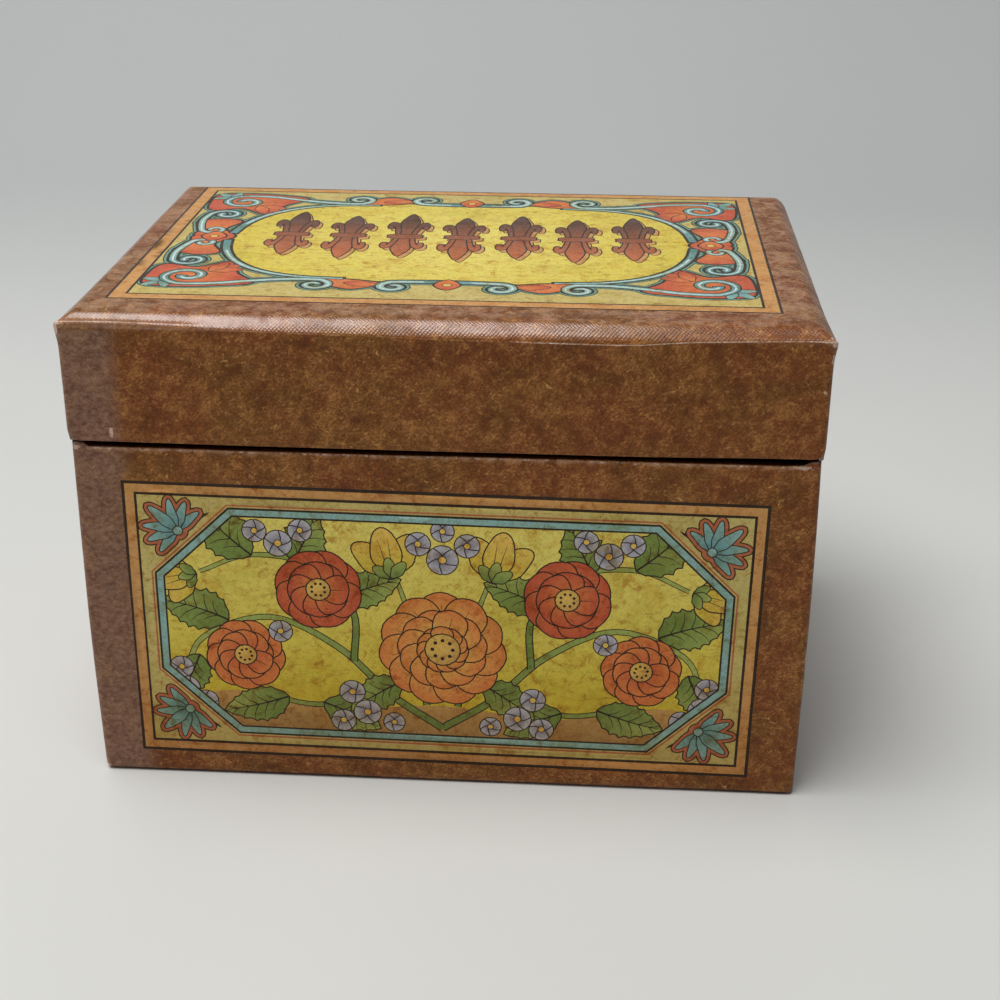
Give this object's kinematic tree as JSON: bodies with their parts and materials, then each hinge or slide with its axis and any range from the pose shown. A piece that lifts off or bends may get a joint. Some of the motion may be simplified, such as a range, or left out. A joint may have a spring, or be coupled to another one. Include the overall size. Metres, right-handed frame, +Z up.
{
  "type": "hinged card index box",
  "caption": "Paper-covered chipboard box for small index cards, with a shallow roll-edged lid hinged along the back by a cloth and paper strip.",
  "frame": {"origin": "middle of the box's footprint, at the level of the surface it stands on", "axes": "+Z up; +X along the box's width, to the right seen from the front; the printed front faces -Y and the hinge is at +Y"},
  "size_m": [0.1374, 0.098, 0.0954],
  "materials": {
    "chipboard": "matt grey-brown chipboard with short fibres",
    "cover_paper": "semi-gloss leather-brown paper with a fine linen emboss, printed panels on top and front",
    "stay_paper": "matt gummed kraft paper",
    "lining_paper": "matt aged cream paper",
    "foot_paper": "matt dark brown paper",
    "hinge_cloth": "plain-weave bookbinder's cloth",
    "hinge_paper": "semi-gloss leather-brown paper with a fine linen emboss"
  },
  "bodies": {
    "base": {"base_tray": "chipboard", "base_wrap": "cover_paper", "base_bottom_sheet": "foot_paper", "base_wall_liner": "lining_paper", "base_floor_liner": "lining_paper", "base_corner_stay_front_left": "stay_paper", "base_corner_stay_front_right": "stay_paper", "base_corner_stay_back_right": "stay_paper", "base_corner_stay_back_left": "stay_paper", "hinge_cloth": "hinge_cloth", "hinge_strip": "hinge_paper"},
    "lid": {"lid_tray": "chipboard", "lid_wrap": "cover_paper", "lid_wall_liner": "lining_paper", "lid_top_liner": "lining_paper", "lid_corner_stay_front_left": "stay_paper", "lid_corner_stay_front_right": "stay_paper", "lid_corner_stay_back_right": "stay_paper", "lid_corner_stay_back_left": "stay_paper"}
  },
  "joints": [
    {"name": "lid_hinge", "type": "hinge", "parent": "base", "child": "lid", "pos_m": [0, 0.049, 0.071], "axis": [-1, 0, 0], "range_deg": [0, 178], "deforming": ["hinge_cloth", "hinge_strip"]}
  ]
}
